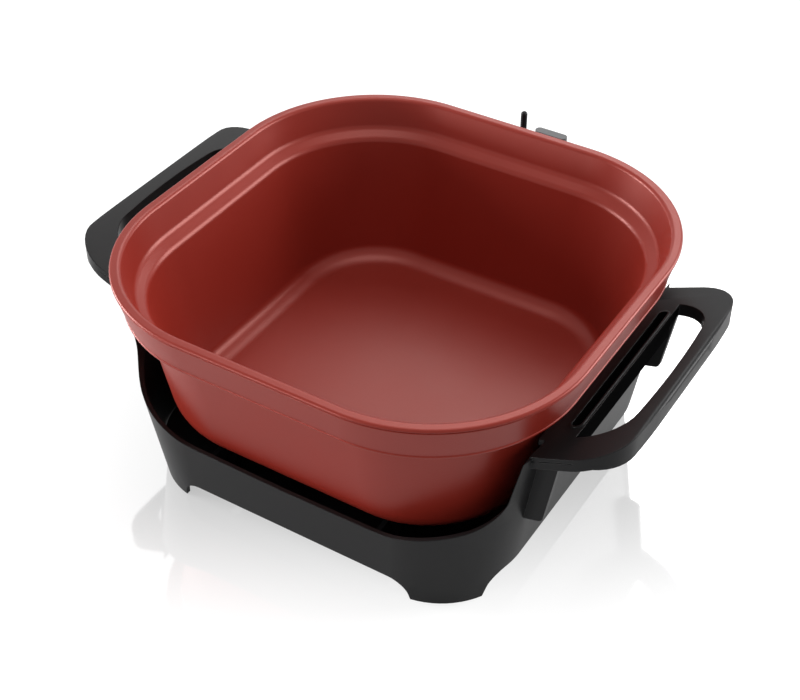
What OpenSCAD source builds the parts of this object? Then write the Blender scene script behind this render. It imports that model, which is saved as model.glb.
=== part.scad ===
// Electric roaster: a deep square coated pan that lifts out of a moulded stand with
// two loop handles, heated by a sheathed element and run by a plug-in slide control.
// Millimetres. +X to the right-hand handle, +Y to the control at the back, +Z up.

/* [Pan] */
// Width across the square rim
pan_w = 305; // [295:1:330]
// Corner radius of the rim
rim_r = 100; // [90:1:110]
// Depth from the rim to the cooking floor
pan_depth = 109; // [100:1:120]
// Thickness of the floor
floor_t = 4; // [3:0.5:6]
// Width of the lip, seen from above
lip_w = 6.6; // [6:0.2:9]
// Thickness of the lip
lip_t = 3.4; // [3:0.2:4.2]
// How far the lip overhangs the collar
lip_over = 1; // [0.8:0.1:1.6]
// Height of the collar, rim to step
collar_h = 25; // [20:0.5:30]
// Inward lean of the collar over its height
collar_lean = 5; // [4:0.1:6]
// Width of the step under the collar
step_w = 10.5; // [8:0.5:13]
// Fall of the step
step_drop = 4; // [3:0.5:6]
// Inward lean of the side wall from the step down
wall_lean = 14.4; // [10:0.2:18]
// Radius where the wall turns into the underside
under_r = 22; // [18:1:26]
// Inward lean of the cooking side from the ledge to the foot of the wall
inner_lean = 19.4; // [17:0.2:21]
// Width of the sloping band between the wall and the floor
band_w = 8; // [6:0.5:10]
// Rise of that band
band_h = 4; // [3:0.5:5]
// Height of the ledge's outer edge above the step
ledge_up = 5.6; // [5:0.2:6.5]

/* [Stand] */
// Height of the pan's underside above the table
stand_h = 44; // [40:1:50]
// Wall of the moulded stand
skirt_t = 3; // [2.4:0.2:4]
// From the rim in to the side wall at the table
skirt_in_x = 27; // [24:0.5:29]
// From the rim in to the front wall at the table
skirt_in_y = 28.5; // [26:0.5:30]
// Corner radius of the stand at the table
skirt_r = 51.5; // [44:0.5:60]
// Outward lean of the wall per millimetre of height
skirt_lean = 0.15; // [0.12:0.01:0.18]
// Height of the front wall's top edge at the middle
front_h = 53.5; // [48:0.5:58]
// Height of the front and back arches between the feet
arch_h = 15; // [10:0.5:17]
// Height of the side arches between the feet
side_arch_h = 19; // [12:0.5:22]
// Length of a foot along the front, from the corner centre
foot_run_x = 9.5; // [4:0.5:20]
// Length of a foot along the side, from the corner centre
foot_run_y = 26; // [18:0.5:30]
// Radius where an arch turns down into a foot
arch_r = 13; // [8:0.5:15]
// Thickness of the ribs that carry the pan
rib_t = 3; // [2:0.2:4]
// From the middle out to each carrying rib
rib_off = 60; // [56:1:70]
// How far a carrying rib reaches in under the pan's flat
rib_seat = 15.1; // [12:0.1:17]
// Width of the gap in the back wall for the control
notch_w = 62; // [60:1:66]

/* [Handles] */
// How far a handle reaches past the rim
handle_out = 39; // [34:0.5:45]
// Half length of a handle, front to back
handle_half = 90; // [86:0.5:94]
// How far the grip bar bows outward between its ends
bar_bow = 4; // [2:0.5:5]
// Corner radius of a handle
handle_r = 27; // [20:0.5:32]
// Rise of the handle per millimetre outward
handle_slope = 0.41; // [0.3:0.01:0.46]
// From the rim's top down to the handle's top edge
handle_drop = 18.5; // [16:0.5:24]
// Thickness of the handle's arms
arm_t = 8.5; // [7:0.5:11]
// Width of the grip bar
bar_w = 10; // [9:0.5:13]
// Height of the grip bar
bar_h = 15.5; // [12:0.5:18]
// Clear width of the finger opening
grip_w = 25.5; // [23:0.5:27]
// Half length of the finger opening
grip_half = 70; // [66:0.5:74]
// Radius of the finger opening's outer corners
grip_r = 28; // [20:1:32]
// Width of the lid-rest slot
slot_w = 5.5; // [5:0.5:7]
// Half length of the lid-rest slot
slot_half = 60; // [50:1:64]
// Rail between the slot and the finger opening
rail_w = 2.6; // [2:0.2:3.4]
// Height of the raised lip round the slot
lip_h = 0.8; // [0.4:0.1:1.2]
// Width of the raised lip round the slot
lip_b = 1.3; // [1:0.1:1.6]
// Depth of the slot's walls below the handle's plate
pocket_h = 8; // [4:0.5:10]
// From the rim in to the handle plate's edge beside the pan
plate_in = 17; // [15:0.5:17.5]
// Reach of the gusset rib under each arm
gusset_w = 11; // [7:0.5:13]
// Height of a gusset's lower end above the table
gusset_z = 60; // [52:0.5:74]
// Thickness of a gusset
gusset_t = 4; // [3:0.5:6]

/* [Heating] */
// Outside diameter of the element's sheath
tube_d = 8; // [7:0.2:8.6]
// Gap between the element's loop and the carrying ribs
loop_gap = 4; // [3:0.5:6]
// Bend radius of the loop's corners
loop_r = 30; // [24:1:32]
// Diameter of a terminal pin
pin_d = 4.8; // [4:0.1:5.4]
// Distance between the two terminal pins
pin_pitch = 28; // [26:0.5:30]
// Sideways place of the terminals and control
term_x = -20; // [-24:1:-14]
// Diameter of the temperature probe
probe_d = 6; // [5:0.1:6.2]
// Running clearance of probe and pins, on radius
run_gap = 0.05; // [0.03:0.01:0.09]
// Seating gap between fixed pieces
seat_gap = 0.2; // [0.1:0.05:0.3]
// Sheet thickness of the guard and clips
sheet_t = 1.2; // [0.8:0.1:1.6]
// Width of the guard round the terminals
guard_w = 54; // [52:0.5:56]
// Thickness of the heat shield
shield_t = 1.5; // [1:0.1:2]

/* [Control] */
// Width of the control's housing
ctl_w = 62; // [60:0.5:68]
// Length of the housing behind the rim
ctl_len = 100; // [98:0.5:108]
// Height of the housing's body
ctl_h = 42.5; // [40:0.5:46]
// Wall of the housing
shell_t = 3; // [2.4:0.2:3.4]
// Travel of the slide lever
lever_travel = 34; // [28:1:36]
// Height of the lever above the housing
lever_h = 26.5; // [22:0.5:29]
// Diameter of the lever's finger peg
lever_d = 4.8; // [4:0.2:6]
// Length of the indicator lens
lens_l = 25.5; // [20:0.5:28]
// Height of the lens above the housing
lens_h = 8; // [6:0.5:9]

/* [Hidden] */
$fn = 64;

// Pan
rim = pan_w / 2;
pan_c = rim - rim_r;
rim_z = stand_h + floor_t + pan_depth;
collar_top = rim - lip_over;
collar_foot = collar_top - collar_lean;
step_z = rim_z - collar_h;
step_in = collar_foot - step_w;
wall_z = step_z - step_drop;
bottom_d = step_in - wall_lean;
turn_in = under_r / tan(45 + atan(wall_lean / (wall_z - stand_h)) / 2);
flat_d = round(10 * (bottom_d - turn_in)) / 10;

// Stand
base_x = rim - skirt_in_x - skirt_r;
base_y = rim - skirt_in_y - skirt_r;
skirt_below = 20;
skirt_top = rim_z - skirt_below;
rib_h = 22;
rib_in = flat_d - rib_seat;
rib_z = stand_h - rib_h;
notch_z = rib_z + 2;
shield_z = rib_z - shield_t;
post_out = 16;
post_r = 5;
post_h = 18;
post_y = rib_in + post_out;
screw_r = 1.45;
screw_len = 12;
head_r = 3.4;
head_h = 2.2;

// Handles
bar_x = rim + handle_out;
bar_z = rim_z - handle_drop;
grip_x1 = bar_x - bar_w;
grip_x0 = grip_x1 - grip_w;
slot_x1 = grip_x0 - rail_w;
slot_x0 = slot_x1 - slot_w;

// Heating
axis_z = stand_h - seat_gap - tube_d / 2;
loop_half = rib_in - loop_gap - tube_d / 2;
leg_b = 12;
leg_y = loop_half + leg_b + 6;
bead_l = 7;
guard_y0 = loop_half + tube_d / 2 + 2;
guard_y1 = rim - 4.5;
guard_up = 4;
guard_down = 18;
guard_free = guard_up + 2 * seat_gap;
guard_box_y = flat_d + sqrt(guard_free * (2 * under_r - guard_free));
guard_z0 = stand_h - guard_down;
guard_z1 = stand_h + guard_up;
sleeve_y0 = guard_y1 - 30;
pin_y1 = guard_y1 - 8;
rivet_r = 1.55;
rivet_head = 2.8;
well_len = 56;
well_y1 = leg_y + 2;
well_y0 = well_y1 - well_len;
probe_y0 = well_y0 + 6;
well_d = probe_d + 2;
pad_w = 14;
pad_l = 8;

// Control
ctl_y0 = rim - 2.5;
ctl_y1 = ctl_y0 + ctl_len;
ctl_step = stand_h + 4;
ctl_split = ctl_step + 14;
ctl_top = ctl_step + ctl_h;
cav_y0 = ctl_y1 - 50;
nose_w = guard_w - 2 * sheet_t - 2.6;
nose_z0 = guard_z0 + sheet_t + 1.3;
nose_z1 = guard_z1 - sheet_t - 1.3;
lever_y = ctl_y1 - 18;
lever_x = term_x - lever_travel / 2;
lens_y = ctl_y1 - 5.6;
lens_w = 7;
screw_x = ctl_w / 2 - shell_t - 6;
screw_y = ctl_y1 - 9;
inlet_z = ctl_step + shell_t + 5.4;

// The whole part stands centred over the table's origin
frame_y = -(ctl_y1 - rim) / 2;

function unit(v) = v / norm(v);

// Points that round one corner of an outline
function bend(a, p, b, r, n) =
    r <= 0 ? [p] :
    let (u = unit(a - p), v = unit(b - p), half = acos(u * v) / 2,
         c = p + unit(u + v) * r / sin(half),
         q0 = p + u * r / tan(half) - c, q1 = p + v * r / tan(half) - c,
         a0 = atan2(q0[1], q0[0]), turn = atan2(q1[1], q1[0]) - a0,
         d = turn > 180 ? turn - 360 : turn < -180 ? turn + 360 : turn)
    [for (i = [0:n]) c + r * [cos(a0 + d * i / n), sin(a0 + d * i / n)]];

// An outline of [x, y, corner radius] entries with its corners rounded
function rounded(o, n = 5) = [
    for (i = [0:len(o) - 1])
        let (a = o[(i + len(o) - 1) % len(o)], p = o[i], b = o[(i + 1) % len(o)])
        each bend([a[0], a[1]], [p[0], p[1]], [b[0], b[1]], p[2], n)
];

// A profile carried round a rectangle's corners and sides; its x starts at the corner centre
module swept(cx, cy, z0, z1) {
    for (a = [0, 180]) rotate(a) {
        translate([cx, cy, 0]) rotate_extrude(angle = 90) children();
        translate([-cx, cy, 0]) rotate(90) rotate_extrude(angle = 90) children();
        translate([cx, cy, 0]) rotate([90, 0, 0]) linear_extrude(2 * cy) children();
        rotate(90) translate([cy, cx, 0]) rotate([90, 0, 0]) linear_extrude(2 * cx) children();
    }
    translate([-cx, -cy, z0]) cube([2 * cx, 2 * cy, z1 - z0]);
}

// A plate in the level plane with round corners
module round_plate(hx, hy, r, z0, z1) {
    translate([0, 0, z0]) linear_extrude(z1 - z0) union() {
        square([2 * hx, 2 * (hy - r)], center = true);
        square([2 * (hx - r), 2 * hy], center = true);
        for (x = [-1, 1], y = [-1, 1]) translate([x * (hx - r), y * (hy - r)]) circle(r);
    }
}

// A prism along Y from an outline in X and Z
module along_y(y0, y1) {
    translate([0, y1, 0]) rotate([90, 0, 0]) linear_extrude(y1 - y0) children();
}

// A prism along X from an outline in Y and Z
module along_x(x0, x1) {
    translate([x0, 0, 0]) rotate([90, 0, 90]) linear_extrude(x1 - x0) children();
}

// A round rod along Y
module rod_y(x, y0, y1, z, r) {
    translate([x, y0, z]) rotate([-90, 0, 0]) cylinder(r = r, h = y1 - y0);
}

// Section of the pan from the corner centre out: underside, step, collar, lip, cooking side
module pan_section() {
    floor_z = stand_h + floor_t;
    ledge_d = collar_foot - 6.7;
    ledge_in = ledge_d - 7.6;
    foot_d = ledge_in - inner_lean;
    polygon(rounded([
        [0, stand_h, 0],
        [bottom_d - pan_c, stand_h, under_r],
        [step_in - pan_c, wall_z, 2],
        [collar_foot - pan_c, step_z, 2],
        [collar_top - pan_c, rim_z - lip_t, 0.3],
        [rim_r, rim_z - lip_t, 0.3],
        [rim_r, rim_z, 2.6],
        [rim_r - lip_w, rim_z, 1.2],
        [ledge_d - pan_c, step_z + ledge_up, 3],
        [ledge_in - pan_c, step_z + 1, 3],
        [foot_d - pan_c, floor_z + band_h, 4.5],
        [foot_d - band_w - pan_c, floor_z, 12],
        [0, floor_z, 0]
    ], 5));
}

module pan() {
    color([0.60, 0.07, 0.06])
    swept(pan_c, pan_c, stand_h, stand_h + floor_t) pan_section();
}

// Solid inside a leaning skirt wall, drawn in by t
module skirt_block(t, z0, z1) {
    swept(base_x, base_y, z0, z1)
        polygon([[0, z0], [skirt_r - t + skirt_lean * z0, z0],
                 [skirt_r - t + skirt_lean * z1, z1], [0, z1]]);
}

// What the front and back swoop takes away, seen from the front
module swoop_cut() {
    far = base_x + skirt_r + skirt_lean * skirt_top;
    along_y(-pan_w, pan_w)
        polygon(rounded([
            [0, front_h, 0], [far - 75, front_h + 1.5, 60], [far - 16.5, front_h + 18.5, 25],
            [far - 3.4, skirt_top, 0], [far - 3.4, rim_z + skirt_below, 0],
            [3.4 - far, rim_z + skirt_below, 0], [3.4 - far, skirt_top, 0],
            [16.5 - far, front_h + 18.5, 25], [75 - far, front_h + 1.5, 60]
        ], 10));
}

// An arch between two feet, half width w and height h
module arch_outline(w, h) {
    polygon(rounded([[-w - 4, -2, 0], [w + 4, -2, 0], [w, 0, 0], [w - 3, h, arch_r],
                     [3 - w, h, arch_r], [-w, 0, 0]], 8));
}

// Height of the handles' sloping top at a distance out from the middle
function handle_z(x) = bar_z - handle_slope * (bar_x - x);

// Side view of a handle: a rising plate that ends in a deeper grip bar
module handle_side() {
    in_x = rim - 26;
    level_x = bar_x - (bar_h - arm_t) / handle_slope;
    polygon(rounded([
        [in_x, handle_z(in_x), 0],
        [in_x, handle_z(in_x) - arm_t, 0],
        [level_x, bar_z - bar_h, 0],
        [bar_x - 0.8, bar_z - bar_h, 2.5],
        [bar_x, bar_z, 2.6]
    ], 5));
}

// What lies above the sloping handles, which also trims the side walls
module above_handles() {
    in_x = base_x;
    for (m = [0, 1]) mirror([m, 0, 0]) along_y(-pan_w, pan_w)
        polygon([[in_x, handle_z(in_x) - 0.6], [bar_x, bar_z - 0.6],
                 [bar_x, rim_z + 30], [in_x, rim_z + 30]]);
}

// Level outline of a handle
module handle_plan() {
    bow_r = (handle_half - handle_r - 4) * handle_half / (1.5 * bar_bow);
    polygon(rounded([[rim - 26, -handle_half, 0], [bar_x - bar_bow, -handle_half, handle_r],
                     [bar_x + bar_bow / 2, 0, bow_r], [bar_x - bar_bow, handle_half, handle_r],
                     [rim - 26, handle_half, 0]], 10));
}

module handle_solid() {
    intersection() {
        along_y(-handle_half - 1, handle_half + 1) handle_side();
        translate([0, 0, stand_h]) linear_extrude(rim_z) handle_plan();
    }
    slot_wall(lip_b, -1, lip_h);
    slot_wall(rail_w - 0.4, -arm_t - pocket_h, -1);
    for (s = [-1, 1]) {
        x0 = base_x + skirt_r + skirt_lean * gusset_z - 1.5;
        top_z = handle_z(slot_x0) - arm_t / 2;
        rise = skirt_lean * (top_z - gusset_z);
        gy = s * (handle_half - 8 - gusset_t / 2);
        along_y(gy - gusset_t / 2, gy + gusset_t / 2)
            polygon(rounded([[x0, gusset_z, 0],
                             [x0 + gusset_w + 1.5, gusset_z + 0.3 * gusset_w, 4],
                             [x0 + gusset_w + 1.5 + rise, top_z, 0], [x0 + rise, top_z, 0]], 5));
    }
}

// A layer of the handle, from one height to another measured from its sloping top
module sloping(x0, x1, low, high) {
    along_y(-handle_half - 1, handle_half + 1)
        polygon([[x0, handle_z(x0) + low], [x1, handle_z(x1) + low],
                 [x1, handle_z(x1) + high], [x0, handle_z(x0) + high]]);
}

// A wall of thickness b round the lid-rest slot
module slot_wall(b, low, high) {
    intersection() {
        sloping(slot_x0 - 5, grip_x0, low, high);
        translate([0, 0, stand_h]) linear_extrude(rim_z) slot_outline(b);
    }
}

// The part of the handle's plate that reaches in under the pan's step
module inner_plate() {
    in_x = rim - plate_in;
    run = handle_half - 16;
    intersection() {
        sloping(in_x, slot_x0 - 3, -4, 0);
        translate([0, 0, stand_h]) linear_extrude(rim_z)
            polygon(rounded([[in_x, -run, 1], [in_x + 5, -run, 1], [in_x + 2.6, -handle_half, 3.5],
                             [slot_x0 - 3, -handle_half, 0], [slot_x0 - 3, handle_half, 0],
                             [in_x + 2.6, handle_half, 3.5], [in_x + 5, run, 1],
                             [in_x, run, 1]], 5));
    }
}

// Level outline of the lid-rest slot, grown by b
module slot_outline(b) {
    translate([(slot_x0 + slot_x1) / 2, 0]) {
        square([slot_w + 2 * b, 2 * slot_half - slot_w], center = true);
        for (s = [-1, 1]) translate([0, s * (slot_half - slot_w / 2)]) circle(slot_w / 2 + b);
    }
}

module handle_gaps() {
    bow_r = (grip_half - grip_r - 4) * grip_half / (1.2 * bar_bow);
    translate([0, 0, stand_h]) linear_extrude(rim_z) {
        intersection() {
            polygon(rounded([[grip_x0 - grip_r, -grip_half, 0],
                             [grip_x1 - 0.8 * bar_bow, -grip_half, grip_r],
                             [grip_x1 + 0.4 * bar_bow, 0, bow_r],
                             [grip_x1 - 0.8 * bar_bow, grip_half, grip_r],
                             [grip_x0 - grip_r, grip_half, 0]], 10));
            translate([grip_x0, -handle_half]) square([2 * grip_w, 2 * handle_half]);
        }
        slot_outline(0);
    }
    for (s = [0, 1]) mirror([0, s, 0]) along_y(handle_half - 0.9, handle_half + 1)
        polygon([[base_x, handle_z(base_x) - 3.7], [grip_x0 + 8, handle_z(grip_x0 + 8) - 3.3],
                 [grip_x0 + 8, handle_z(grip_x0 + 8) - 2.9], [base_x, handle_z(base_x) - 2.7]]);
}

// Ribs inside the stand that carry the pan, with the posts that take the shield's screws
module carrying_ribs() {
    reach = pan_w;
    for (s = [-1, 1], t = [-1, 1]) {
        translate([s * rib_off - rib_t / 2, t > 0 ? rib_in : -reach, rib_z])
            cube([rib_t, reach - rib_in, stand_h - rib_z]);
        translate([s > 0 ? rib_in : -reach, t * rib_off - rib_t / 2, rib_z])
            cube([reach - rib_in, rib_t, stand_h - rib_z]);
        translate([s * rib_off, t * post_y, rib_z]) cylinder(r = post_r, h = post_h);
    }
}

// Skirt, feet, ribs and handles of the stand
module stand_moulding() {
    difference() {
        union() {
            difference() {
                union() {
                    difference() {
                        skirt_block(0, 0, skirt_top);
                        above_handles();
                    }
                    for (m = [0, 1]) mirror([m, 0, 0]) handle_solid();
                }
                skirt_block(skirt_t, -1, rim_z + skirt_below);
            }
            intersection() {
                carrying_ribs();
                skirt_block(skirt_t / 2, 1, stand_h + 1);
            }
        }
        swoop_cut();
        along_y(-pan_w, pan_w) arch_outline(base_x + foot_run_x, arch_h);
        along_x(-pan_w, pan_w) arch_outline(base_y + foot_run_y, side_arch_h);
        for (m = [0, 1]) mirror([m, 0, 0]) handle_gaps();
        translate([term_x - notch_w / 2, base_y, notch_z]) cube([notch_w, pan_w, front_h]);
        for (s = [-1, 1], t = [-1, 1])
            translate([s * rib_off, t * post_y, rib_z - 1])
                cylinder(r = screw_r + 0.05, h = screw_len + 1);
    }
}

module base_frame() {
    color([0.045, 0.045, 0.05]) {
        stand_moulding();
        for (m = [0, 1]) mirror([m, 0, 0]) inner_plate();
    }
}

module heat_shield() {
    inset = skirt_t + 0.6 - skirt_lean * shield_z;
    color([0.03, 0.03, 0.03])
    difference() {
        round_plate(base_x + skirt_r - inset, base_y + skirt_r - inset, skirt_r - inset,
                    shield_z, rib_z);
        for (s = [-1, 1], t = [-1, 1])
            translate([s * rib_off, t * post_y, shield_z - 1])
                cylinder(r = screw_r + 0.25, h = shield_t + 2);
    }
}

module shield_screws() {
    color([0.6, 0.6, 0.6])
    for (s = [-1, 1], t = [-1, 1]) translate([s * rib_off, t * post_y, 0]) {
        translate([0, 0, shield_z - head_h]) cylinder(r = head_r, h = head_h);
        translate([0, 0, shield_z - 1]) cylinder(r = screw_r, h = screw_len);
    }
}

// One quarter bend of the element
module elbow(x, y, r, a) {
    translate([x, y, axis_z]) rotate(a) rotate_extrude(angle = 90) translate([r, 0]) circle(tube_d / 2);
}

module heating_element() {
    k = loop_half - loop_r;
    r = tube_d / 2;
    xl = term_x - pin_pitch / 2;
    xr = term_x + pin_pitch / 2;
    color([0.35, 0.35, 0.36])
    union() {
        for (a = [0:3]) rotate(90 * a) elbow(k, k, loop_r, 0);
        for (a = [90, 180, 270]) rotate(a)
            translate([-k, loop_half, axis_z]) rotate([0, 90, 0]) cylinder(r = r, h = 2 * k);
        translate([xr + leg_b, loop_half, axis_z]) rotate([0, 90, 0]) cylinder(r = r, h = k - xr - leg_b);
        translate([-k, loop_half, axis_z]) rotate([0, 90, 0]) cylinder(r = r, h = xl - leg_b + k);
        elbow(xr + leg_b, loop_half + leg_b, leg_b, 180);
        elbow(xl - leg_b, loop_half + leg_b, leg_b, 270);
        for (x = [xl, xr]) rod_y(x, loop_half + leg_b, leg_y, axis_z, r);
    }
}

// A saddle clip over the tube, feet flat against the pan's underside
module clip() {
    r = tube_d / 2 + 0.1;
    rotate([90, 0, 0]) translate([0, 0, -4]) linear_extrude(8) union() {
        difference() {
            union() {
                translate([0, axis_z]) circle(r + sheet_t);
                translate([-r - sheet_t, axis_z]) square([2 * (r + sheet_t), stand_h - axis_z]);
            }
            translate([0, axis_z]) circle(r);
            translate([-r, axis_z]) square([2 * r, stand_h]);
        }
        for (s = [-1, 1])
            translate([s > 0 ? r + sheet_t / 2 : -r - 7, stand_h - sheet_t]) square([7 - sheet_t / 2, sheet_t]);
    }
}

module element_clips() {
    color([0.7, 0.7, 0.7]) {
        translate([loop_half, 0, 0]) clip();
        translate([-loop_half, 0, 0]) clip();
        translate([0, -loop_half, 0]) rotate(90) clip();
        translate([loop_half - loop_r - 12, loop_half, 0]) rotate(90) clip();
    }
}

module terminal_pins() {
    color([0.75, 0.73, 0.68])
    for (s = [-1, 1]) {
        x = term_x + s * pin_pitch / 2;
        rod_y(x, leg_y, pin_y1 - pin_d / 2, axis_z, pin_d / 2);
        translate([x, pin_y1 - pin_d / 2, axis_z]) rotate([-90, 0, 0])
            cylinder(r1 = pin_d / 2, r2 = pin_d / 4, h = pin_d / 2);
    }
}

module terminal_insulators() {
    color([0.9, 0.88, 0.82])
    for (s = [-1, 1]) difference() {
        rod_y(term_x + s * pin_pitch / 2, leg_y, leg_y + bead_l, axis_z, tube_d / 2 - 0.1);
        rod_y(term_x + s * pin_pitch / 2, leg_y - 1, leg_y + bead_l + 1, axis_z, pin_d / 2 + run_gap);
    }
}

module terminal_guard() {
    w = guard_w / 2;
    color([0.66, 0.66, 0.66])
    translate([term_x, 0, 0])
    difference() {
        union() {
            for (s = [-1, 1]) {
                x = s > 0 ? w - sheet_t : -w;
                translate([x, guard_y0, guard_z0]) cube([sheet_t, guard_y1 - guard_y0, stand_h - guard_z0]);
                translate([x, guard_box_y, guard_z0])
                    cube([sheet_t, guard_y1 - guard_box_y, guard_z1 - guard_z0]);
                translate([s > 0 ? w - 8 : -w, guard_y0, stand_h - sheet_t]) cube([8, 11, sheet_t]);
            }
            translate([-w, guard_box_y, guard_z1 - sheet_t])
                cube([guard_w, guard_y1 - guard_box_y, sheet_t]);
            translate([-w, leg_y, guard_z0]) cube([guard_w, guard_y1 - leg_y, sheet_t]);
        }
        for (s = [-1, 1]) translate([s * (w - 4.4), guard_y0 + 5.5, stand_h - 4])
            cylinder(r = rivet_r + 0.05, h = 5);
    }
}

module guard_rivets() {
    color([0.8, 0.8, 0.8])
    for (s = [-1, 1]) translate([term_x + s * (guard_w / 2 - 4.4), guard_y0 + 5.5, 0]) {
        translate([0, 0, stand_h - sheet_t]) cylinder(r = rivet_r, h = sheet_t);
        translate([0, 0, stand_h - sheet_t - 1.2]) cylinder(r = rivet_head, h = 1.2);
    }
}

module probe_well() {
    color([0.62, 0.62, 0.62])
    difference() {
        union() {
            rod_y(term_x, well_y0, well_y1, axis_z, well_d / 2);
            for (y = [well_y0 + pad_l, well_y1 - 14])
                translate([term_x - pad_w / 2, y, stand_h - sheet_t]) cube([pad_w, pad_l, sheet_t]);
        }
        rod_y(term_x, well_y0 + 2, well_y1 + 1, axis_z, probe_d / 2 + run_gap);
    }
}

// Side view of the control: a low nose that plugs in, and a body cranked up behind it
module control_side() {
    polygon(rounded([
        [ctl_y0, nose_z0 - 4, 4], [ctl_y0 + 38, nose_z0 - 4, 14],
        [ctl_y0 + 66, ctl_step, 14], [ctl_y1, ctl_step, 6],
        [ctl_y1, ctl_top, 4], [ctl_y0 + 44, ctl_top, 16],
        [ctl_y0 + 20, nose_z1 + 12, 14], [ctl_y0, nose_z1 + 6, 4]
    ], 6));
}

module control_block() {
    intersection() {
        along_x(term_x - ctl_w / 2, term_x + ctl_w / 2) control_side();
        translate([term_x, (ctl_y0 + ctl_y1) / 2, 0])
            round_plate(ctl_w / 2, ctl_len / 2, 9, 0, ctl_top + 5);
    }
}

module control_cavity() {
    translate([term_x - ctl_w / 2 + shell_t, cav_y0, ctl_step + shell_t])
        cube([ctl_w - 2 * shell_t, ctl_y1 - shell_t - cav_y0, ctl_top - ctl_step - 2 * shell_t]);
}

module control_lower_shell() {
    color([0.05, 0.05, 0.055])
    difference() {
        union() {
            intersection() {
                control_block();
                translate([-pan_w, 0, 0]) cube([2 * pan_w, 2 * pan_w, ctl_split]);
            }
            translate([term_x - nose_w / 2, sleeve_y0, nose_z0])
                cube([nose_w, ctl_y0 + 2 - sleeve_y0, nose_z1 - nose_z0]);
        }
        control_cavity();
        rod_y(term_x, sleeve_y0 - 1, ctl_y0 + 12, axis_z, probe_d / 2 + run_gap);
        for (s = [-1, 1]) {
            rod_y(term_x + s * pin_pitch / 2, sleeve_y0 - 1, ctl_y0 + 4, axis_z, pin_d / 2 + 1.25);
            translate([term_x + s * screw_x, screw_y, ctl_step - 1]) cylinder(r = 3.2, h = 3.4);
            translate([term_x + s * screw_x, screw_y, ctl_step]) cylinder(r = 1.7, h = 20);
        }
        rod_y(term_x, ctl_y1 - shell_t - 1, ctl_y1 + 1, inlet_z, 4);
    }
    color([0.05, 0.05, 0.055])
    for (s = [-1, 1]) difference() {
        translate([term_x + s * screw_x, screw_y, ctl_step + shell_t - 0.5])
            cylinder(r = 4, h = ctl_split - ctl_step - shell_t + 0.5);
        translate([term_x + s * screw_x, screw_y, ctl_step]) cylinder(r = 1.7, h = 20);
    }
}

module control_upper_shell() {
    color([0.05, 0.05, 0.055])
    difference() {
        union() {
            difference() {
                intersection() {
                    control_block();
                    translate([-pan_w, 0, ctl_split]) cube([2 * pan_w, 2 * pan_w, pan_w]);
                }
                control_cavity();
            }
            for (s = [-1, 1]) translate([term_x + s * screw_x, screw_y, ctl_split])
                cylinder(r = 4, h = ctl_top - shell_t - ctl_split + 0.5);
        }
        for (s = [-1, 1]) translate([term_x + s * screw_x, screw_y, ctl_split - 1])
            cylinder(r = 1.5, h = 14);
        translate([lever_x - 4, lever_y - 2.5, ctl_top - shell_t - 1])
            cube([lever_travel + 8, 5, shell_t + 2]);
        lens_form(0.1, ctl_top - shell_t - 1, ctl_top + 1);
    }
}

module lens_form(gap, z0, z1) {
    l = lens_l / 2 - lens_w / 2;
    translate([term_x + 0.7, lens_y - 1.4, z0]) linear_extrude(z1 - z0) union() {
        square([2 * l, lens_w + 2 * gap], center = true);
        for (s = [-1, 1]) translate([s * l, 0]) circle(lens_w / 2 + gap);
    }
}

module indicator_lens() {
    color([0.55, 0.56, 0.58])
    difference() {
        lens_form(0, ctl_top - shell_t, ctl_top + lens_h);
        translate([term_x + 0.7, lens_y - 1.4, ctl_top - shell_t - 1]) cylinder(r = 2.6, h = 5);
    }
}

module indicator_lamp() {
    color([0.9, 0.45, 0.2])
    translate([term_x + 0.7, lens_y - 1.4, ctl_top - shell_t - 5]) cylinder(r = 2.5, h = 8.5);
}

module scale_plate() {
    color([0.45, 0.46, 0.47])
    translate([term_x - lever_travel / 2 - 5, lever_y - 16, ctl_top])
        cube([lever_travel + 10, 9, 0.6]);
}

module probe_tube() {
    color([0.78, 0.78, 0.78])
    union() {
        rod_y(term_x, probe_y0 + probe_d / 2, ctl_y0 + 12, axis_z, probe_d / 2);
        translate([term_x, probe_y0 + probe_d / 2, axis_z]) sphere(probe_d / 2);
    }
}

module contact_sleeves() {
    color([0.8, 0.66, 0.38])
    for (s = [-1, 1]) difference() {
        rod_y(term_x + s * pin_pitch / 2, sleeve_y0 + 1, ctl_y0 + 4, axis_z, pin_d / 2 + 1.2);
        rod_y(term_x + s * pin_pitch / 2, sleeve_y0 - 1, ctl_y0 + 3, axis_z, pin_d / 2 + run_gap);
    }
}

module thermostat_block() {
    color([0.82, 0.78, 0.7])
    translate([term_x - 15, cav_y0 + 3, ctl_step + shell_t]) difference() {
        cube([30, 18, 28]);
        translate([5, -1, 20]) cube([20, 20, 9]);
    }
}

module cord_grommet() {
    color([0.08, 0.08, 0.08])
    difference() {
        union() {
            rod_y(term_x, ctl_y1 - shell_t, ctl_y1, inlet_z, 3.9);
            rod_y(term_x, ctl_y1 - shell_t - 2, ctl_y1 - shell_t, inlet_z, 5.2);
        }
        rod_y(term_x, ctl_y1 - shell_t - 3, ctl_y1 + 1, inlet_z, 2.8);
    }
}

module housing_screws() {
    color([0.6, 0.6, 0.6])
    for (s = [-1, 1]) translate([term_x + s * screw_x, screw_y, ctl_step]) {
        translate([0, 0, 0.3]) cylinder(r = 3, h = 2.1);
        translate([0, 0, 2]) cylinder(r = screw_r, h = ctl_split - ctl_step + 9);
    }
}

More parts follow.
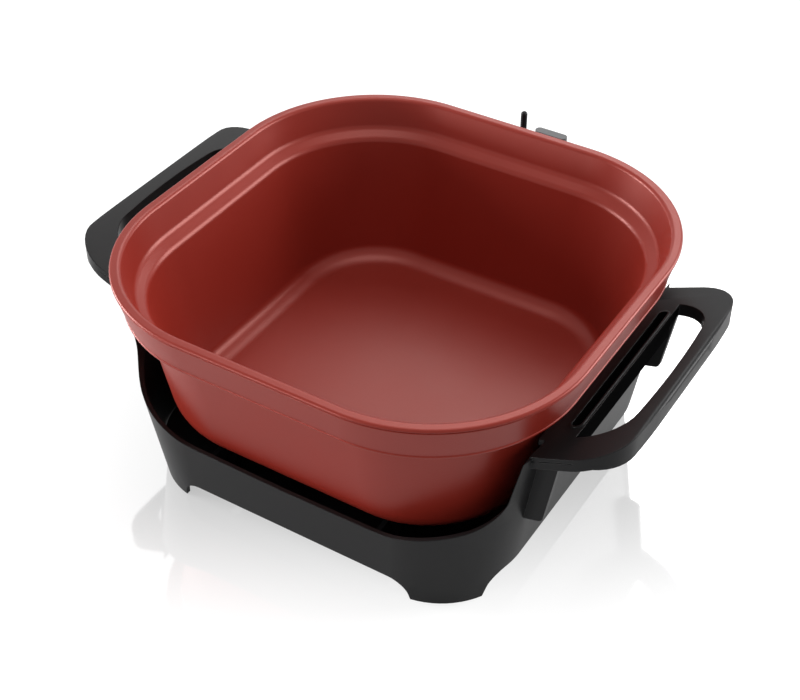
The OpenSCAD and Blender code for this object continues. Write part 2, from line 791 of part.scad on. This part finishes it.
module slide_lever() {
    color([0.04, 0.04, 0.045])
    translate([lever_x, lever_y, ctl_top]) union() {
        translate([-6, -4.5, -shell_t - 3.3]) cube([12, 9, 3]);
        translate([-2, -2, -shell_t - 1]) cube([4, 4, shell_t + 2]);
        translate([0, 0, 0.3]) cylinder(r1 = 6, r2 = lever_d / 2, h = 9);
        translate([0, 0, 9]) cylinder(r = lever_d / 2, h = lever_h - 9 - lever_d / 2);
        translate([0, 0, lever_h - lever_d / 2]) sphere(lever_d / 2);
    }
}

module placed() { translate([0, frame_y, 0]) children(); }

placed() base_frame();
placed() heat_shield();
placed() shield_screws();
placed() pan();
placed() heating_element();
placed() element_clips();
placed() terminal_pins();
placed() terminal_insulators();
placed() terminal_guard();
placed() guard_rivets();
placed() probe_well();
placed() control_lower_shell();
placed() control_upper_shell();
placed() probe_tube();
placed() contact_sleeves();
placed() thermostat_block();
placed() indicator_lens();
placed() indicator_lamp();
placed() scale_plate();
placed() cord_grommet();
placed() housing_screws();
placed() slide_lever();
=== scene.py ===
import math

import bmesh
import bpy
from mathutils import Matrix, Vector


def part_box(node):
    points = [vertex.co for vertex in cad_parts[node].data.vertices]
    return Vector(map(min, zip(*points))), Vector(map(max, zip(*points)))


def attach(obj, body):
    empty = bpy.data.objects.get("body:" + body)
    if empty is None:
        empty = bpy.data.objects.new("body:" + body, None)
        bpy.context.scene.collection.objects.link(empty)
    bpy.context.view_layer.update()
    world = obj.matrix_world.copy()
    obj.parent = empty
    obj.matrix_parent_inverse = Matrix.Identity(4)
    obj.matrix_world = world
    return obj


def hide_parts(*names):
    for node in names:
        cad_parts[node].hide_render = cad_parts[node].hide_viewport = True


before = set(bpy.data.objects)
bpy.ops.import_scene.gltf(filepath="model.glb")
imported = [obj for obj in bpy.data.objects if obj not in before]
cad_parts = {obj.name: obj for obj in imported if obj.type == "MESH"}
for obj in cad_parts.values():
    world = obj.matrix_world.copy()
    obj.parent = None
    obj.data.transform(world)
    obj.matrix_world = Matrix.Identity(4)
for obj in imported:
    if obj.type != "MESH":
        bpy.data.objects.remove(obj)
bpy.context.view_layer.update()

# MOULDED STAND
# One black moulding: a leaning skirt on four feet, two loop handles and the ribs that
# carry the pan. It is injection moulded in heat-proof plastic with a fine spark grain,
# and its edges leave the mould with a small radius.


class Finish:
    """A socket among a material's nodes. Sums and products of values add their Math nodes."""

    def __init__(self, tree, socket=None):
        self.tree, self.socket = tree, socket

    def add(self, kind, settings=(), sockets=(), out=0):
        made = self.tree.nodes.new("ShaderNode" + kind)
        for name, value in dict(settings).items():
            if name == "stops":
                while len(made.color_ramp.elements) < len(value):
                    made.color_ramp.elements.new(1.0)
                for stop, (place, colour) in zip(made.color_ramp.elements, value):
                    stop.position, stop.color = place, (*colour, 1.0)
            else:
                setattr(made, name, value)
        for name, value in dict(sockets).items():
            if isinstance(value, Finish):
                self.tree.links.new(value.socket, made.inputs[name])
            else:
                made.inputs[name].default_value = value
        return Finish(self.tree, made.outputs[out] if len(made.outputs) else None)

    def sum_of(self, operation, a, b):
        return self.add("Math", {"operation": operation}, {0: a, 1: b})

    def __add__(self, other):
        return self.sum_of("ADD", self, other)

    def __radd__(self, other):
        return self.sum_of("ADD", other, self)

    def __sub__(self, other):
        return self.sum_of("SUBTRACT", self, other)

    def __rsub__(self, other):
        return self.sum_of("SUBTRACT", other, self)

    def __mul__(self, other):
        return self.sum_of("MULTIPLY", self, other)

    def __rmul__(self, other):
        return self.sum_of("MULTIPLY", other, self)

    def between(self, low, high):
        return self.add("Mix", {"data_type": "RGBA"}, {0: self, 6: (*low, 1), 7: (*high, 1)}, 2)


def start_finish(name):
    made = bpy.data.materials.new(name)
    made.use_nodes = True
    made.node_tree.nodes.clear()
    return made, Finish(made.node_tree)


def coat(finish, sockets):
    finish.add("OutputMaterial", {}, {"Surface": finish.add("BsdfPrincipled", {}, sockets)})


def wear(piece, finish):
    piece.data.materials.clear()
    piece.data.materials.append(finish)


def black_moulding(name, dark, light, rough, edge, gloss=0.14):
    made, f = start_finish(name)
    place = f.add("TexCoord", {}, {}, 3)
    grain = f.add("TexNoise", {}, {"Vector": place, "Scale": 1500.0, "Detail": 2.0})
    cloud = f.add("TexNoise", {}, {"Vector": place, "Scale": 26.0, "Detail": 4.0})
    rounded_edge = f.add("Bevel", {"samples": 6}, {"Radius": edge})
    coat(f, {
        "Base Color": cloud.between(dark, light),
        "Roughness": rough + 0.10 * (cloud - 0.5) + 0.08 * (grain - 0.5),
        "Specular IOR Level": gloss,
        "Normal": f.add("Bump", {}, {"Strength": 0.22, "Distance": 0.00012, "Height": grain,
                                     "Normal": rounded_edge}),
    })
    return made


seam_gap, flat_turn, smooth_turn = 3e-6, math.radians(0.2), math.radians(24)


def rebuilt(node, name, body):
    """The node's own shape with its seams closed, so that its round faces shade as round."""
    shape = bmesh.new()
    shape.from_mesh(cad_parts[node].data)
    bmesh.ops.remove_doubles(shape, verts=shape.verts, dist=seam_gap)
    bmesh.ops.dissolve_limit(shape, angle_limit=flat_turn, verts=shape.verts,
                             edges=shape.edges)
    mesh = bpy.data.meshes.new(name)
    shape.to_mesh(mesh)
    shape.free()
    if "custom_normal" in mesh.attributes:
        mesh.attributes.remove(mesh.attributes["custom_normal"])
    mesh.shade_smooth()
    mesh.set_sharp_from_angle(angle=smooth_turn)
    piece = bpy.data.objects.new(name, mesh)
    bpy.context.scene.collection.objects.link(piece)
    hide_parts(node)
    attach(piece, body)
    return piece


stand = rebuilt("base_frame", "moulded_stand", "base")
stand_black = black_moulding("stand_black", (0.0105, 0.0105, 0.011), (0.0135, 0.0135, 0.014),
                             0.33, 0.0009)
wear(stand, stand_black)

# The walls of the lid-rest slots carry painted shade: a near-black, dull finish without gloss,
# darker than the rest of the moulding, stands for the shadow down in the slots and on the rail
# beside them.
# They are the stand's upright faces between the pan and the finger openings.
pan_y = -0.04875
slot_from, slot_to, slot_half = 0.1450, 0.1566, 0.0660
slot_low, slot_deep, upright = 0.095, 0.004, 0.3
# Painted shade: a second, darker black without gloss for the slot walls, in place of their
# shadow.
stand.data.materials.append(black_moulding("slot_painted_shade", (0.003, 0.003, 0.0031),
                                           (0.0045, 0.0045, 0.0047), 0.62, 0.0004, 0.0))
for face in stand.data.polygons:
    x, y, z = face.center
    heights = [stand.data.vertices[v].co.z for v in face.vertices]
    wall = abs(face.normal.z) < upright and max(heights) - min(heights) > slot_deep
    beside_pan = slot_from < abs(x) < slot_to and abs(y - pan_y) < slot_half
    if wall and beside_pan and z > slot_low:
        face.material_index = 1

# HEAT SHIELD
# A flat plate of steel sheet under the element, which keeps its heat off the table. It is
# stamped, coated in black enamel and hangs on four screws.
enamel, f = start_finish("black_enamel")
place = f.add("TexCoord", {}, {}, 3)
flow = f.add("TexNoise", {}, {"Vector": place, "Scale": 160.0, "Detail": 3.0})
coat(f, {
    "Base Color": flow.between((0.006, 0.006, 0.0065), (0.011, 0.011, 0.012)),
    "Roughness": 0.46 + 0.16 * (flow - 0.5),
    "Specular IOR Level": 0.3,
    "Normal": f.add("Bump", {}, {"Strength": 0.12, "Distance": 0.0001, "Height": flow}),
})
wear(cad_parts["heat_shield"], enamel)

# SHIELD SCREWS
# Four self-cutting screws with round heads, of headed and rolled steel wire. They are zinc
# plated and driven up through the shield into the stand's posts.


def rolled_sheet(name, dark, light, rough, lines):
    made, f = start_finish(name)
    place = f.add("TexCoord", {}, {}, 3)
    rolled = f.add("Mapping", {}, {"Vector": place, "Scale": lines})
    streak = f.add("TexNoise", {}, {"Vector": rolled, "Scale": 1.0, "Detail": 3.0})
    cloud = f.add("TexNoise", {}, {"Vector": place, "Scale": 35.0, "Detail": 5.0})
    coat(f, {
        "Base Color": cloud.between(dark, light),
        "Metallic": 1.0,
        "Roughness": rough + 0.16 * (streak - 0.5) + 0.14 * (cloud - 0.5),
        "Normal": f.add("Bump", {}, {"Strength": 0.2, "Distance": 0.00005, "Height": streak}),
    })
    return made


plated = rolled_sheet("zinc_plating", (0.52, 0.53, 0.55), (0.64, 0.64, 0.63), 0.34,
                      (500, 500, 500))
wear(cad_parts["shield_screws"], plated)

# COATED PAN
# A deep square pan of cast aluminium: a flat floor with a sloping border, leaning walls, a
# step, an upright collar and a lip rolled outward over a shallow groove. Inside and out it
# carries a red non-stick coating that dries to a fine orange peel.

# The outline runs from the underside over the lip to the floor. Each of its corners has a
# distance from the middle, a height and a radius, in mm.
pan_corner, corner_steps, fillet_steps = 52.5, 44, 9
pan_outline = [
    (121.6, 44.0, 25.0), (136.0, 128.0, 2.0), (147.0, 131.8, 0.6), (147.2, 133.0, 0.5),
    (146.75, 133.4, 0.3), (151.6, 153.4, 0.5), (150.9, 153.9, 0.3), (151.0, 154.8, 0.2),
    (152.5, 155.0, 0.3), (152.5, 157.0, 1.6), (145.9, 157.0, 3.0), (139.8, 137.6, 6.0),
    (132.2, 133.0, 6.0), (112.8, 52.0, 11.5), (104.8, 48.0, 14.0),
]


def rounded_outline(corners, start, end, count):
    """Points and outward directions of an outline whose corners are rounded."""
    points = []
    line = [start] + [(d, z) for d, z, r in corners] + [end]
    for i, (d, z, r) in enumerate(corners):
        (ax, az), (bx, bz) = line[i], line[i + 2]
        ux, uz = ax - d, az - z
        vx, vz = bx - d, bz - z
        u, v = math.hypot(ux, uz), math.hypot(vx, vz)
        ux, uz, vx, vz = ux / u, uz / u, vx / v, vz / v
        half = math.acos(max(-1, min(1, ux * vx + uz * vz))) / 2
        mx, mz = ux + vx, uz + vz
        m = math.hypot(mx, mz)
        cx, cz = d + mx / m * r / math.sin(half), z + mz / m * r / math.sin(half)
        side = 1 if (ux * vz - uz * vx) < 0 else -1
        t = r / math.tan(half)
        a0 = math.atan2(z + uz * t - cz, d + ux * t - cx)
        turn = math.atan2(z + vz * t - cz, d + vx * t - cx) - a0
        turn = (turn + math.pi) % (2 * math.pi) - math.pi
        for k in range(count + 1):
            a = a0 + turn * k / count
            points.append((cx + r * math.cos(a), cz + r * math.sin(a),
                           side * math.cos(a), side * math.sin(a)))
    return points


def swept_square(name, outline, corner, steps):
    """An outline carried round a square with rounded corners, floor and underside closed."""
    verts, normals, faces = [], [], []
    turns = [(k, i) for k in range(4) for i in range(steps + 1)]
    ring = len(turns)
    for d, z, nd, nz in outline:
        for k, i in turns:
            a = math.radians(90 * k + 90 * i / steps)
            sx, sy = (1, -1, -1, 1)[k], (1, 1, -1, -1)[k]
            r = d - corner
            verts.append(((sx * corner + r * math.cos(a)) / 1000,
                          (sy * corner + r * math.sin(a)) / 1000 + pan_y, z / 1000))
            normals.append((nd * math.cos(a), nd * math.sin(a), nz))
    for p in range(len(outline) - 1):
        for q in range(ring):
            a, b = p * ring + q, p * ring + (q + 1) % ring
            faces.append((a, b, b + ring, a + ring))
    faces.append(tuple(reversed(range(ring))))
    last = (len(outline) - 1) * ring
    faces.append(tuple(range(last, last + ring)))
    mesh = bpy.data.meshes.new(name)
    mesh.from_pydata(verts, [], faces)
    mesh.shade_smooth()
    mesh.normals_split_custom_set_from_vertices(normals)
    piece = bpy.data.objects.new(name, mesh)
    bpy.context.scene.collection.objects.link(piece)
    return piece


under_middle, floor_middle = (60.0, 44.0), (60.0, 48.0)
pan = swept_square("coated_pan",
                   rounded_outline(pan_outline, under_middle, floor_middle, fillet_steps),
                   pan_corner, corner_steps)
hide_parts("pan")
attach(pan, "pan")

pan_red, f = start_finish("pan_red")
place = f.add("TexCoord", {}, {}, 3)
peel = f.add("TexNoise", {}, {"Vector": place, "Scale": 1150.0, "Detail": 2.0, "Roughness": 0.55})
cloud = f.add("TexNoise", {}, {"Vector": place, "Scale": 18.0, "Detail": 5.0})
fleck = f.add("TexVoronoi", {}, {"Vector": place, "Scale": 1700.0})
fleck = f.add("MapRange", {}, {"Value": fleck, "From Min": 0.08, "From Max": 0.22,
                               "To Min": 1.0, "To Max": 0.0})
red = f.add("Mix", {"data_type": "RGBA"}, {
    0: 0.16 * fleck, 6: cloud.between((0.205, 0.0162, 0.0096), (0.232, 0.0185, 0.0110)),
    7: (0.34, 0.050, 0.042, 1)}, 2)
coat(f, {
    "Base Color": red,
    "Roughness": 0.35 + 0.10 * (cloud - 0.5) + 0.10 * (peel - 0.5),
    "Specular IOR Level": 0.66,
    "Specular Tint": (1.0, 0.44, 0.39, 1.0),
    "Normal": f.add("Bump", {}, {"Strength": 0.30, "Distance": 0.00016, "Height": peel}),
})
wear(pan, pan_red)

# HEATING ELEMENT
# A sheathed rod bent into a loop under the floor, its two ends turned back to the
# terminals. The steel sheath has gone brown and blue with heat.
sheath, f = start_finish("sheath_steel")
place = f.add("TexCoord", {}, {}, 3)
heat = f.add("TexNoise", {}, {"Vector": place, "Scale": 14.0, "Detail": 4.0})
pores = f.add("TexNoise", {}, {"Vector": place, "Scale": 900.0, "Detail": 3.0})
tint = f.add("ValToRGB", {"stops": [(0.30, (0.16, 0.12, 0.09)), (0.50, (0.22, 0.20, 0.19)),
                                    (0.70, (0.17, 0.19, 0.24))]}, {"Fac": heat})
coat(f, {
    "Base Color": tint, "Metallic": 0.9, "Roughness": 0.42 + 0.25 * (heat - 0.5),
    "Normal": f.add("Bump", {}, {"Strength": 0.25, "Distance": 0.00008, "Height": pores}),
})
wear(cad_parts["heating_element"], sheath)

# ELEMENT CLIPS, TERMINAL GUARD AND PROBE WELL
# Steel sheet, bent and pierced, and a drawn steel tube with two welded pads. They hold
# the element, shield the live pins and take the control's probe.
steel = rolled_sheet("bright_sheet", (0.30, 0.30, 0.31), (0.42, 0.42, 0.42), 0.34,
                     (1800, 30, 30))
for node in ("element_clips", "terminal_guard", "probe_well"):
    wear(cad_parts[node], steel)

# GUARD RIVETS
# Two tubular rivets that hold the guard to the pan's underside, of the same plated steel
# as the screws.
wear(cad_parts["guard_rivets"], plated)

# TERMINAL PINS AND THEIR BEADS
# Nickel-plated pins that carry the current into the element, each through a bead of
# unglazed ceramic pressed on where it leaves the sheath.
wear(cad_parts["terminal_pins"],
     rolled_sheet("nickel", (0.58, 0.55, 0.50), (0.70, 0.67, 0.61), 0.26, (40, 40, 1500)))

bead, f = start_finish("bead_ceramic")
place = f.add("TexCoord", {}, {}, 3)
clay = f.add("TexNoise", {}, {"Vector": place, "Scale": 700.0, "Detail": 4.0})
coat(f, {
    "Base Color": clay.between((0.70, 0.66, 0.58), (0.82, 0.79, 0.72)),
    "Roughness": 0.62 + 0.2 * (clay - 0.5),
    "Normal": f.add("Bump", {}, {"Strength": 0.3, "Distance": 0.0001, "Height": clay}),
})
wear(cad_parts["terminal_insulators"], bead)

# CONTROL HOUSING
# Two halves of the same black plastic, moulded with a finer grain than the stand, shut
# on each other round the switch and screwed from below.
housing_black = black_moulding("housing_black", (0.013, 0.013, 0.014), (0.018, 0.018, 0.019),
                               0.38, 0.0006)
for node, name in (("control_lower_shell", "housing_lower"),
                   ("control_upper_shell", "housing_upper")):
    wear(rebuilt(node, name, "control"), housing_black)

# HOUSING SCREWS
# Two zinc-plated steel screws, sunk into the lower half of the housing and driven up into
# the posts of the upper one.
wear(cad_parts["housing_screws"], plated)

# PROBE AND CONTACTS
# A polished steel tube with a closed round end feels the pan's heat; beside it two brass
# sleeves slide over the terminal pins.
wear(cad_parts["probe_tube"],
     rolled_sheet("probe_bright", (0.62, 0.62, 0.62), (0.72, 0.72, 0.71), 0.2, (60, 900, 60)))
wear(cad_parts["contact_sleeves"],
     rolled_sheet("contact_brass", (0.60, 0.43, 0.17), (0.74, 0.55, 0.25), 0.3, (60, 60, 1200)))

# THERMOSTAT BLOCK
# The switch inside the housing, pressed from pale heat-proof resin with a channel for its
# blades. It lies loose on the lower half and the upper half holds it down.
resin, f = start_finish("switch_resin")
place = f.add("TexCoord", {}, {}, 3)
mottle = f.add("TexNoise", {}, {"Vector": place, "Scale": 180.0, "Detail": 5.0})
coat(f, {
    "Base Color": mottle.between((0.56, 0.50, 0.39), (0.66, 0.60, 0.48)),
    "Roughness": 0.5 + 0.2 * (mottle - 0.5),
    "Normal": f.add("Bump", {}, {"Strength": 0.15, "Distance": 0.0001, "Height": mottle}),
})
wear(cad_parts["thermostat_block"], resin)

# INDICATOR LENS AND LAMP
# A long grey lens with round ends, moulded in clouded plastic, that spreads the light of
# a small amber lamp set under it.
lens, f = start_finish("lens_grey")
place = f.add("TexCoord", {}, {}, 3)
haze = f.add("TexNoise", {}, {"Vector": place, "Scale": 240.0, "Detail": 3.0})
coat(f, {
    "Base Color": haze.between((0.122, 0.123, 0.126), (0.155, 0.156, 0.158)),
    "Roughness": 0.55 + 0.12 * (haze - 0.5),
    "Specular IOR Level": 0.2,
    "Normal": f.add("Bevel", {"samples": 6}, {"Radius": 0.0008}),
})
wear(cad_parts["indicator_lens"], lens)

lamp, f = start_finish("lamp_amber")
place = f.add("TexCoord", {}, {}, 3)
glow = f.add("TexNoise", {}, {"Vector": place, "Scale": 300.0, "Detail": 2.0})
coat(f, {
    "Base Color": glow.between((0.70, 0.22, 0.04), (0.85, 0.34, 0.08)),
    "Roughness": 0.2 + 0.1 * (glow - 0.5),
})
wear(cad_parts["indicator_lamp"], lamp)

# SCALE PLATE
# A thin grey plate let onto the housing beside the lever's slot, printed with ticks and
# plain temperature figures.
plate_grey, f = start_finish("plate_grey")
place = f.add("TexCoord", {}, {}, 3)
brush = f.add("Mapping", {}, {"Vector": place, "Scale": (30, 2600, 30)})
brush = f.add("TexNoise", {}, {"Vector": brush, "Scale": 1.0, "Detail": 2.0})
coat(f, {
    "Base Color": brush.between((0.15, 0.155, 0.16), (0.20, 0.205, 0.21)),
    "Roughness": 0.42 + 0.15 * (brush - 0.5),
    "Metallic": 0.4,
})
wear(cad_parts["scale_plate"], plate_grey)

# SCALE MARKS
# White ink on the plate: a tick for each step and a figure for every second one, printed
# about a tenth of a millimetre thick.
ink, f = start_finish("ink_white")
place = f.add("TexCoord", {}, {}, 3)
speck = f.add("TexNoise", {}, {"Vector": place, "Scale": 2500.0, "Detail": 2.0})
coat(f, {
    "Base Color": speck.between((0.62, 0.62, 0.60), (0.78, 0.78, 0.76)),
    "Roughness": 0.55 + 0.2 * (speck - 0.5),
})
plate_low, plate_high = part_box("scale_plate")
mark_steps, mark_margin = 9, 0.005
mark_from, mark_to = plate_low.x + mark_margin, plate_high.x - mark_margin
mark_at = [mark_from + (mark_to - mark_from) * i / (mark_steps - 1) for i in range(mark_steps)]
ink_thick, ink_middle = 0.0001, plate_high.z + 0.00004
tick_wide, tick_long, tick_short, tick_margin = 0.0004, 0.0030, 0.0018, 0.0006
shape = bmesh.new()
for i, x in enumerate(mark_at):
    reach = tick_long if i % 2 == 0 else tick_short
    at = Matrix.Translation((x, plate_high.y - tick_margin - reach / 2, ink_middle))
    size = Matrix.Diagonal((tick_wide, reach, ink_thick, 1))
    bmesh.ops.create_cube(shape, size=1.0, matrix=at @ size)
mesh = bpy.data.meshes.new("scale_ticks")
shape.to_mesh(mesh)
shape.free()
ticks = bpy.data.objects.new("scale_ticks", mesh)
bpy.context.scene.collection.objects.link(ticks)
wear(ticks, ink)
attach(ticks, "control")
figure_high, figure_margin = 0.0034, 0.0028
for i, figure in ((0, "200"), (2, "250"), (4, "300"), (6, "350"), (8, "400")):
    text = bpy.data.curves.new("figure_" + figure, "FONT")
    text.body, text.size, text.extrude = figure, figure_high, ink_thick / 2
    text.align_x, text.align_y = "CENTER", "CENTER"
    text.materials.append(ink)
    number = bpy.data.objects.new("figure_" + figure, text)
    number.location = (mark_at[i], plate_low.y + figure_margin, ink_middle)
    number.rotation_euler = (0, 0, math.pi)
    bpy.context.scene.collection.objects.link(number)
    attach(number, "control")

# CORD GROMMET
# A soft moulded rubber ring, pressed into the round hole in the housing's end where a cord
# would enter.
rubber, f = start_finish("grommet_rubber")
place = f.add("TexCoord", {}, {}, 3)
bloom = f.add("TexNoise", {}, {"Vector": place, "Scale": 420.0, "Detail": 4.0})
coat(f, {
    "Base Color": bloom.between((0.018, 0.018, 0.018), (0.034, 0.034, 0.035)),
    "Roughness": 0.66 + 0.2 * (bloom - 0.5),
    "Normal": f.add("Bump", {}, {"Strength": 0.2, "Distance": 0.0001, "Height": bloom}),
})
wear(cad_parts["cord_grommet"], rubber)

# SLIDE LEVER
# A moulded black finger peg on a flared foot, of the housing's plastic. It is snapped
# through the slot onto its carriage.
wear(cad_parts["slide_lever"],
     black_moulding("lever_black", (0.011, 0.011, 0.012), (0.016, 0.016, 0.017), 0.33, 0.0004))

# FLOOR AND LIGHT
# A polished white table top that keeps the stand's shadow and, close to the feet, its
# mirror image, in a white surround. Large soft lamps stand left, right, behind and above,
# and a small low one in front lights the pan's outside.
floor_mesh = bpy.data.meshes.new("floor")
half, below_feet = 6.0, 0.0003
floor_mesh.from_pydata([(-half, -half, 0), (half, -half, 0), (half, half, 0), (-half, half, 0)],
                       [], [(0, 1, 2, 3)])
floor = bpy.data.objects.new("floor", floor_mesh)
floor.location.z = -below_feet
bpy.context.scene.collection.objects.link(floor)
table_white, f = start_finish("table_white")
camera_ray, glossy_ray, clear_ray = (f.add("LightPath", {}, {}, out) for out in (0, 3, 6))
seen = camera_ray + 0.32 * glossy_ray + clear_ray
mirror_turn, mirror_half, mirror_fade = -0.556, (0.165, 0.070, 0.0), 0.18
place = f.add("NewGeometry", {}, {}, 0)
turned = f.add("VectorRotate", {"rotation_type": "Z_AXIS"}, {
    "Vector": place, "Center": (0.0, 0.0, 0.0), "Angle": mirror_turn})
from_middle = f.add("VectorMath", {"operation": "ABSOLUTE"}, {0: turned})
from_feet = f.add("VectorMath", {"operation": "MAXIMUM"}, {
    0: f.add("VectorMath", {"operation": "SUBTRACT"}, {0: from_middle, 1: mirror_half}),
    1: (0.0, 0.0, 0.0)})
away = f.add("VectorMath", {"operation": "LENGTH"}, {0: from_feet}, 1)
fading = f.add("MapRange", {"interpolation_type": "SMOOTHSTEP"}, {
    "Value": away, "From Min": 0.0, "From Max": mirror_fade, "To Min": 0.0, "To Max": 1.0})
dull = f.add("BsdfDiffuse", {}, {"Color": (0.6, 0.6, 0.6, 1)})
lit = f.add("AddShader", {}, {
    0: f.add("Emission", {}, {"Color": (1, 1, 1, 1), "Strength": 0.47}),
    1: f.add("BsdfDiffuse", {}, {"Color": (0.24, 0.24, 0.24, 1)})})
sheen = f.add("MixShader", {}, {
    0: fading, 1: f.add("BsdfGlossy", {}, {"Color": (0.32, 0.32, 0.32, 1), "Roughness": 0.05}),
    2: f.add("Emission", {}, {"Color": (1, 1, 1, 1), "Strength": 0.44})})
lit = f.add("AddShader", {}, {0: lit, 1: sheen})
f.add("OutputMaterial", {}, {"Surface": f.add("MixShader", {}, {0: seen, 1: dull, 2: lit})})
wear(floor, table_white)

world = bpy.data.worlds.new("surround")
bpy.context.scene.world = world
world.use_nodes = True
world.node_tree.nodes.clear()
f = Finish(world.node_tree)
camera_ray, glossy_ray, clear_ray = (f.add("LightPath", {}, {}, out) for out in (0, 3, 6))
seen = camera_ray + glossy_ray + clear_ray
f.add("OutputWorld", {}, {"Surface": f.add("MixShader", {}, {
    0: seen,
    1: f.add("Background", {}, {"Color": (1, 1, 1, 1), "Strength": 0.42}),
    2: f.add("Background", {}, {"Color": (1, 1, 1, 1), "Strength": 1.0})})})

lamp_aim = Vector((0.0, 0.0, 0.08))
for name, place, size, watts in (("left", (-1.95, -0.65, 0.32), 1.0, 60),
                                 ("front", (-0.8, -1.8, 0.13), 0.24, 10),
                                 ("right", (1.3, 1.25, 0.75), 1.0, 34),
                                 ("back", (-0.45, 1.35, 1.45), 1.0, 11),
                                 ("top", (0.0, 0.1, 1.9), 1.0, 8)):
    light = bpy.data.lights.new(name, "AREA")
    light.shape, light.size, light.energy = "SQUARE", size, watts
    lamp_object = bpy.data.objects.new(name, light)
    lamp_object.location = place
    aim = lamp_aim - lamp_object.location
    lamp_object.rotation_euler = aim.to_track_quat("-Z", "Y").to_euler()
    bpy.context.scene.collection.objects.link(lamp_object)

# CAMERA
# A long lens in front of the right-hand corner, about two thirds of a metre above the table,
# looking down into the pan.
view = bpy.data.cameras.new("camera")
view.sensor_fit, view.sensor_width, view.lens = "HORIZONTAL", 36.0, 67.24
camera = bpy.data.objects.new("camera", view)
camera.matrix_world = Matrix(((0.8493, -0.3356, 0.4074, 0.38997),
                              (0.5278, 0.5400, -0.6555, -0.67630),
                              (0.0, 0.7717, 0.6358, 0.67776),
                              (0, 0, 0, 1)))
bpy.context.scene.collection.objects.link(camera)
bpy.context.scene.camera = camera

bpy.context.scene.view_settings.view_transform = "Standard"
